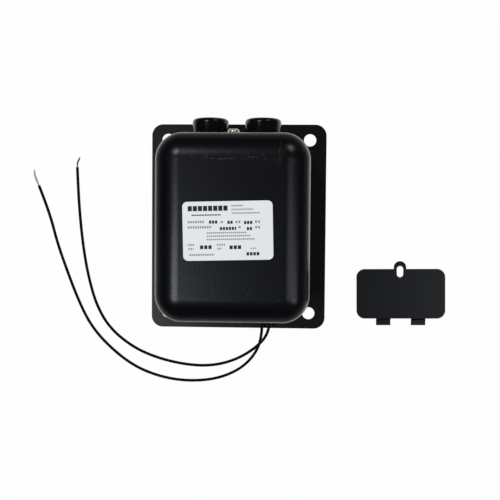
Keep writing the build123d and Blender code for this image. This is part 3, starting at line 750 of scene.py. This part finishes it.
def banded(name, tones, axis, pitch, **surface):
    """A stack of sheets or turns: bands across one axis, one every pitch millimetres."""
    material, tree, principled, place = start_material(name, **surface)
    wave = add_node(tree, "TexWave", {
        "Vector": place, "bands_direction": axis, "Scale": WAVE_UNIT / (pitch * MM),
        "Distortion": BAND_WAVER,
    })
    clouds = add_node(
        tree, "TexNoise", {"Vector": place, "Scale": per_metre(BAND_CLOUD_SIZE), "Detail": 3.0},
    )
    band = wave.outputs["Fac"]
    shade = add_node(tree, "Math", {"operation": "MULTIPLY", 0: band, 1: clouds})
    add_finish(tree, principled, tones, shade, relief=(band, BAND_RELIEF, BAND_HEIGHT))
    return material


core_steel = banded(
    "silicon_steel_sheets", ("#2b2e33", "#5a5f66"), "Z", SHEET_THICKNESS,
    Metallic=1.0, Roughness=0.45,
)
copper_turns = banded(
    "enamelled_copper_turns", ("#4a1f0e", "#a4572c"), "Y", WIRE_THICKNESS, Roughness=0.3, IOR=1.5,
)
print("banded:", core_steel.name, copper_turns.name)

# %% [markdown]
# Board, paper and asphalt are plain dielectrics that differ in how rough they are and in the size
# of their grain: long fibres in the pressed paper, a fine weave in the phenolic board, and a slow
# glossy swell on the asphalt where it cooled.

# %% Boards and asphalt
pressed_paper = smooth_plastic(
    "vulcanised_fibre", ("#5e3c26", "#7a5234"),
    roughness=0.7, ripple_size=0.5, ripple_strength=0.5,
)
phenolic = smooth_plastic(
    "phenolic_board", ("#4a2f1b", "#5f3f25"),
    roughness=0.5, ripple_size=0.4, ripple_strength=0.3,
)
asphalt = smooth_plastic(
    "potting_asphalt", ("#090807", "#12100d"),
    roughness=0.25, ripple_size=4.0, ripple_strength=0.8,
)
print("boards:", pressed_paper.name, phenolic.name, asphalt.name)

# %% [markdown]
# ## Every part gets its material
# The CAD model names its parts for what they are, so a short table of words is enough: the first
# word that a part's name holds gives its material. The pieces that were made here get theirs one
# by one. The second lead's bare end is tarnished.

# %% Assign the materials
MATERIAL_WORDS = [
    ("housing_can", can_enamel), ("base_plate", plate_enamel), ("access_cover", cover_enamel),
    ("wiring_compartment", inside_enamel), ("rating_label", label_film), ("gasket", pressed_paper),
    ("hv_bushing", glaze), ("hv_terminal", brass), ("terminal_nuts", brass), ("end_screw", zinc),
    ("core_rivets", zinc), ("core_bracket", zinc), ("core_", core_steel),
    ("magnetic_shunt", core_steel), ("shunt_spacers", pressed_paper), ("bobbin", phenolic),
    ("coil", copper_turns), ("insulation_sheet", pressed_paper), ("lead_grommet", rubber),
    ("tail", tinned), ("link", tinned), ("strands", tinned), ("potting", asphalt),
    ("lead_", insulation),
]
MADE_HERE = [
    (leads["lead_a"], insulation), (leads["lead_b"], insulation),
    (bare_ends["lead_a"], tinned), (bare_ends["lead_b"], tarnished),
    (bold_print, bold_ink), (fine_print, fine_ink),
]


def give_material(piece, material):
    """Makes this the piece's only material."""
    piece.data.materials.clear()
    piece.data.materials.append(material)


for name, node in cad_nodes.items():
    give_material(node, next(material for word, material in MATERIAL_WORDS if word in name))
for piece, material in MADE_HERE:
    give_material(piece, material)
print("parts with a material:", len(cad_nodes) + len(MADE_HERE))

# %% [markdown]
# ## The table
# The photograph's ground is pure white with hardly a shadow. More light would bleach the label, so
# the white comes from the table itself: what the camera and mirror-like surfaces see of it is
# mostly a plain white glow, and the rest is a white matte surface that keeps a soft shadow. The
# room beyond the table's edge is white in the same way, and only dim as a light.

# %% White table and room
WHITE = (1, 1, 1, 1)
TABLE_WHITE = (0.9, 0.9, 0.9, 1)
TABLE_REACH = 8
TABLE_GLOW_SHARE = 0.97
ROOM_LIGHT = 0.5
SQUARE = ((-1, -1), (1, -1), (1, 1), (-1, 1))


def seen_directly(tree):
    """1 for the rays that show the background: from the camera, a reflection or through glass."""
    rays = add_node(tree, "LightPath").outputs
    mirrored = add_node(tree, "Math", {
        "operation": "MAXIMUM", 0: rays["Is Glossy Ray"], 1: rays["Is Transmission Ray"],
    })
    return add_node(tree, "Math", {"operation": "MAXIMUM", 0: rays["Is Camera Ray"], 1: mirrored})


table_corners = [(x * TABLE_REACH, y * TABLE_REACH, 0) for x, y in SQUARE]
table = mesh_object("table", table_corners, [(0, 1, 2, 3)])

table_material, tree = empty_material("white_table")
matte = add_node(tree, "BsdfDiffuse", {"Color": TABLE_WHITE})
glow = add_node(tree, "Emission", {"Color": WHITE, "Strength": 1.0})
glow_share = add_node(
    tree, "Math", {"operation": "MULTIPLY", 0: seen_directly(tree), 1: TABLE_GLOW_SHARE},
)
table_surface = add_node(tree, "MixShader", {0: glow_share, 1: matte, 2: glow})
add_node(tree, "OutputMaterial", {"Surface": table_surface})
table.data.materials.append(table_material)

world = bpy.data.worlds.new("room")
world.use_nodes = True
tree = world.node_tree
tree.nodes.clear()
room_light = add_node(tree, "Background", {"Color": WHITE, "Strength": ROOM_LIGHT})
room_white = add_node(tree, "Background", {"Color": WHITE, "Strength": 1.0})
room = add_node(tree, "MixShader", {0: seen_directly(tree), 1: room_light, 2: room_white})
add_node(tree, "OutputWorld", {"Surface": room})
world.cycles.sampling_method = "NONE"
bpy.context.scene.world = world
print("table:", table.name)

# %% [markdown]
# ## Black cards, and a card that glows
# Black enamel shows little but reflections. In the photograph its rounded edges are almost black
# between the lamps and a thin white line at the outline, because the studio round the table was
# dark. Photographers get that with black cards. Here a wide card with a window in it lies on the
# table round the plate, and a black dome stands over the set. Only reflections see them, so they
# take no light away and stay out of every view.
#
# The wide card is no black card: it glows, graded from a grey glow at its window to black far out.
# That glow is a painted reflection, seen only by reflections, which gives the white line at the
# outline its soft inner edge.

# %% The glowing card round the plate: a painted reflection
CARD_WINDOW = {"left": -0.116, "right": 0.116, "front": -0.100, "back": 0.102}
CARD_SIDES = (("left", "X", -1), ("right", "X", 1), ("front", "Y", -1), ("back", "Y", 1))
CARD_REACH = 1.9
CARD_HEIGHT = 0.0005
CARD_GLOW = 0.4
CARD_FADE = 0.066
CARD_TINT = (1.0, 1.0, 0.96, 1)


def show_to_reflections_only(card):
    """Hides a card from everything but glossy rays."""
    for ray in ("camera", "diffuse", "transmission", "volume_scatter", "shadow"):
        setattr(card, f"visible_{ray}", False)


glowing_reflection_card, tree = empty_material("glowing_reflection_card")
axes = add_node(tree, "SeparateXYZ", {0: add_node(tree, "TexCoord").outputs["Object"]})
beyond = 0.0
for side, axis, sign in CARD_SIDES:
    past = add_node(tree, "Math", {
        "operation": "MULTIPLY_ADD", 0: axes.outputs[axis], 1: sign, 2: -sign * CARD_WINDOW[side],
    })
    beyond = add_node(tree, "Math", {"operation": "MAXIMUM", 0: past, 1: beyond})
# The card's glow is a painted reflection: grey light at the window that fades to black far out.
spread = add_node(tree, "Math", {"operation": "ADD", 0: beyond, 1: CARD_FADE})
grade = add_node(tree, "Math", {"operation": "DIVIDE", 0: CARD_GLOW * CARD_FADE, 1: spread})
card_glow = add_node(tree, "Emission", {"Color": CARD_TINT, "Strength": grade})
add_node(tree, "OutputMaterial", {"Surface": card_glow})

left, right = CARD_WINDOW["left"], CARD_WINDOW["right"]
front, back = CARD_WINDOW["front"], CARD_WINDOW["back"]
card_corners = [(left, front), (right, front), (right, back), (left, back)]
card_corners += [(x * CARD_REACH, y * CARD_REACH) for x, y in SQUARE]
card_points = [(x, y, CARD_HEIGHT) for x, y in card_corners]
card_faces = [(side, (side + 1) % 4, (side + 1) % 4 + 4, side + 4) for side in range(4)]
wide_card = mesh_object("glowing_reflection_card", card_points, card_faces)
wide_card.data.materials.append(glowing_reflection_card)
show_to_reflections_only(wide_card)
print("card round the plate:", wide_card.name)

# %% [markdown]
# The dome is rings of points from its top down to the table, with a fan of triangles at the top
# and four-sided faces below.

# %% The black dome
DOME_RADIUS = 2.0
DOME_SIDES = 24
DOME_RINGS = 6
RING_STEP = 15

dome_points = [(0, 0, DOME_RADIUS)]
for ring in range(1, DOME_RINGS + 1):
    tilt = math.radians(RING_STEP * ring)
    out = DOME_RADIUS * math.sin(tilt)
    up = DOME_RADIUS * math.cos(tilt)
    for side in range(DOME_SIDES):
        turn = 2 * math.pi * side / DOME_SIDES
        dome_points.append((out * math.cos(turn), out * math.sin(turn), up))
dome_faces = [(0, side + 1, (side + 1) % DOME_SIDES + 1) for side in range(DOME_SIDES)]
for ring in range(DOME_RINGS - 1):
    for side in range(DOME_SIDES):
        here = 1 + ring * DOME_SIDES
        below = here + DOME_SIDES
        after = (side + 1) % DOME_SIDES
        dome_faces.append((here + side, below + side, below + after, here + after))

black_card, tree = empty_material("black_card")
card_matte = add_node(tree, "BsdfDiffuse", {"Color": linear("#060606")})
add_node(tree, "OutputMaterial", {"Surface": card_matte})
dome = mesh_object("black_dome", dome_points, dome_faces)
dome.data.materials.append(black_card)
show_to_reflections_only(dome)
print("dome:", dome.name, "with", len(dome_faces), "faces")

# %% [markdown]
# ## The lamps
# The rounded edges show where the lamps were: one long soft highlight along the left edge,
# stronger towards the leads, a weaker one along the right edge, and a short one over the bushings'
# end. Each lamp is a square panel. It is placed by how far it leans from straight up, to the right
# and towards the bushings, and turned to face the middle of the set.

# %% Lamps
LAMP_REACH = 0.9
COOL = (0.88, 0.93, 1.0)
NEUTRAL = (0.96, 0.98, 1.0)
WARM = (1.0, 1.0, 0.88)
# Each lamp: its name, how many degrees it leans to the right and towards the bushings, its size in
# metres, its power in watts and its colour.
LAMPS = [
    ("left", -24.2, -12.6, 0.32, 1.7, COOL),
    ("right", 30.5, -6.5, 0.34, 0.46, COOL),
    ("low_right", 51, -22, 0.30, 0.57, COOL),
    ("upper_left", -23.5, 32, 0.23, 1.2, NEUTRAL),
    ("upper_right", 41.3, 54, 0.24, 0.68, WARM),
]
LAMP_TARGET = Vector((0, 0, 0.05))
for name, lean_x, lean_y, size, power, colour in LAMPS:
    lamp_data = bpy.data.lights.new(name, "AREA")
    lamp_data.shape = "SQUARE"
    lamp_data.size = size
    lamp_data.energy = power
    lamp_data.color = colour
    lamp = add_object(name, lamp_data)
    lean = Vector((math.tan(math.radians(lean_x)), math.tan(math.radians(lean_y)), 1)).normalized()
    lamp.location = LAMP_TARGET + lean * LAMP_REACH
    lamp.rotation_euler = lean.to_track_quat("Z", "Y").to_euler()
    lamp.visible_camera = False
print("lamps:", [lamp[0] for lamp in LAMPS])
